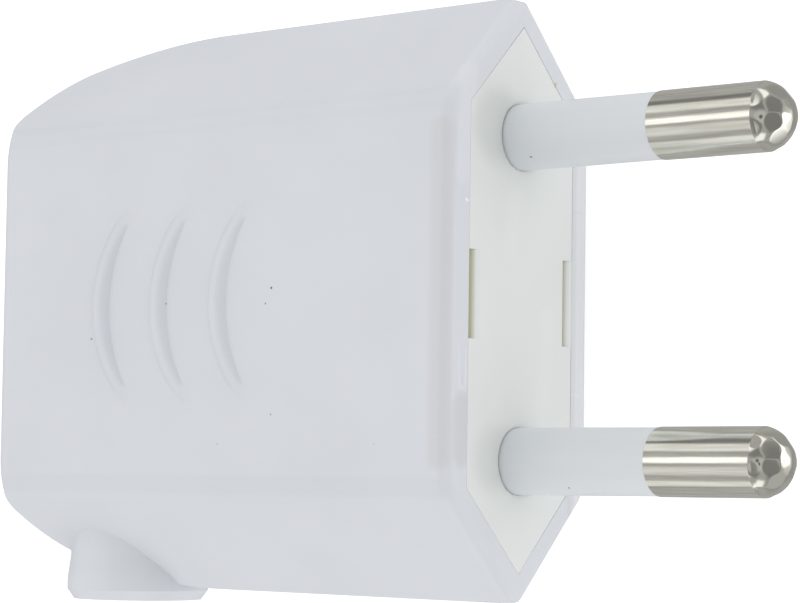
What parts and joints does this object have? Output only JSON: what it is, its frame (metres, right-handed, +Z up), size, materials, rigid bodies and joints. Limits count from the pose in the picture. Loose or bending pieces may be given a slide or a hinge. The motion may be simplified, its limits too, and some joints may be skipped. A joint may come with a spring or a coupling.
{
  "type": "two-pin mains plug",
  "caption": "Flat rewireable mains plug with two round part-insulated pins, a bevelled housing with grip ridges and a side cord entry.",
  "frame": {"origin": "centre of the engagement face, midway between the pins", "axes": "+X out along the pins, +Y across the broad face, +Z up out of the broad face; the cord entry points to -Y and the plug lies on its lower broad face"},
  "size_m": [0.0563, 0.0366, 0.015],
  "materials": {
    "housing_plastic": "cool white moulded plastic with a soft satin gloss",
    "carrier_plastic": "matt, slightly warmer white moulded plastic",
    "sleeve_plastic": "smooth cool white insulation",
    "nickel_plate": "bright nickel plate on brass with fine lengthwise drawing lines",
    "screw_steel": "plain zinc-plated steel"
  },
  "bodies": {
    "root": {"housing": "housing_plastic", "pin_carrier": "carrier_plastic", "pin_right": "nickel_plate", "pin_left": "nickel_plate", "sleeve_right": "sleeve_plastic", "sleeve_left": "sleeve_plastic", "terminal_screw_right": "screw_steel", "terminal_screw_left": "screw_steel", "clamp_screw_right": "screw_steel", "clamp_screw_left": "screw_steel", "cord_clamp_bar": "carrier_plastic"}
  },
  "joints": []
}
